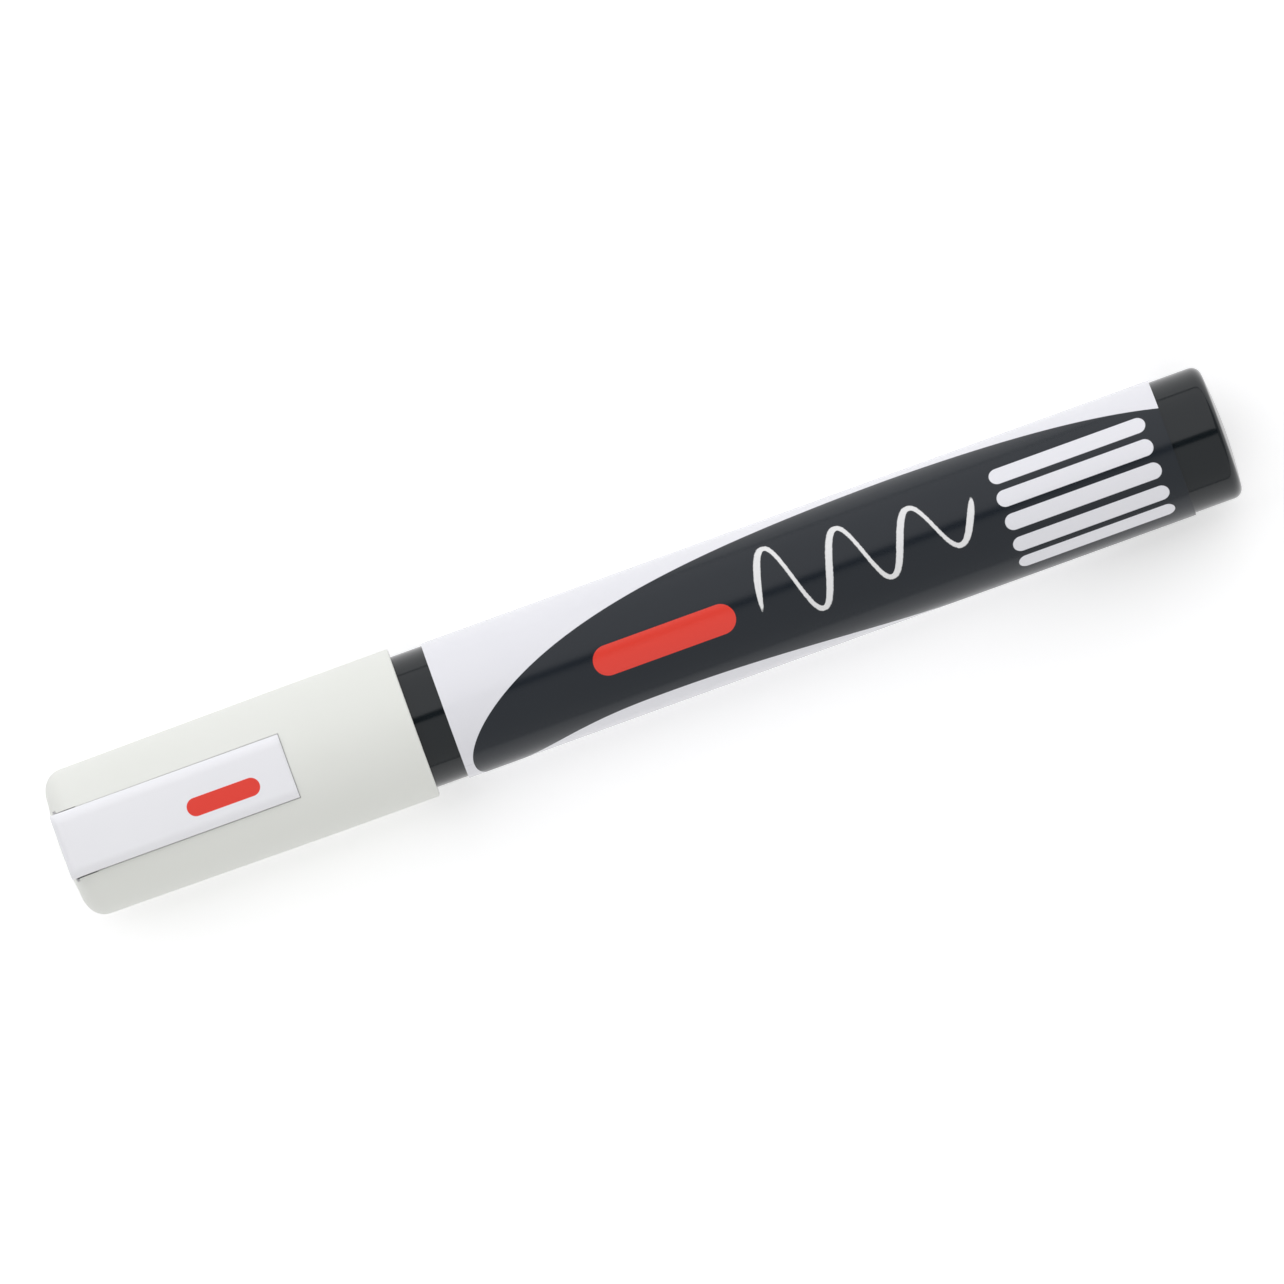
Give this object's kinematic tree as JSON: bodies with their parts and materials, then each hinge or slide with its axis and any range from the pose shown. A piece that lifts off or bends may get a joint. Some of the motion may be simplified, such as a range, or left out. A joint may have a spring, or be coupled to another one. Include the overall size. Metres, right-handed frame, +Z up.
{
  "type": "liquid chalk marker",
  "caption": "Round liquid chalk marker with a pull-off cap and pocket clip, a bullet nib that opens a sprung ink valve when pressed, and a labelled black barrel.",
  "frame": {"origin": "on the surface that the capped marker lies on, below the middle of its length", "axes": "+X along the marker from the cap to the tail, +Z up through the clip"},
  "size_m": [0.1386, 0.0174, 0.0187],
  "materials": {
    "cap_white": "satin warm white moulding",
    "clip_white": "glossy cool white moulding",
    "liner_white": "natural polypropylene",
    "barrel_black": "glossy black moulding",
    "label_print": "glossy white film printed in black with white and red marks",
    "front_black": "satin black moulding",
    "nib_fibre": "bonded acrylic fibre",
    "valve_white": "natural acetal",
    "seal_rubber": "soft black elastomer",
    "spring_steel": "drawn stainless wire",
    "ball_steel": "polished stainless"
  },
  "bodies": {
    "barrel": {"barrel": "barrel_black", "label_film": "label_print", "front_section": "front_black", "valve_seat": "seal_rubber", "valve_housing": "valve_white", "valve_spring": "spring_steel"},
    "cap": {"cap_shell": "cap_white", "inner_cap": "liner_white"},
    "clip": {"cap_clip": "clip_white"},
    "nib": {"nib": "nib_fibre"},
    "valve": {"valve_stem": "valve_white"},
    "ball": {"mixing_ball": "ball_steel"}
  },
  "joints": [
    {"name": "cap_pull", "type": "slide", "parent": "barrel", "child": "cap", "axis": [-1, 0, 0], "range_m": [0, 0.045]},
    {"name": "clip_flex", "type": "hinge", "parent": "cap", "child": "clip", "pos_m": [-0.0676, 0, 0.0139], "axis": [0, -1, 0], "range_deg": [0, 5], "stiffness_Nm_per_rad": 0.5},
    {"name": "nib_press", "type": "slide", "parent": "barrel", "child": "nib", "axis": [1, 0, 0], "range_m": [0, 0.0018], "stiffness_N_per_m": 600, "springref_m": -0.003, "deforming": ["valve_spring"]},
    {"name": "valve_lift", "type": "slide", "parent": "barrel", "child": "valve", "axis": [1, 0, 0], "range_m": [0, 0.0018]},
    {"name": "ball_roll", "type": "slide", "parent": "barrel", "child": "ball", "axis": [1, 0, 0], "range_m": [-0.03845, 0.03985]}
  ],
  "couplings": [
    {"joint": "valve_lift", "follows": "nib_press", "ratio": 1}
  ]
}
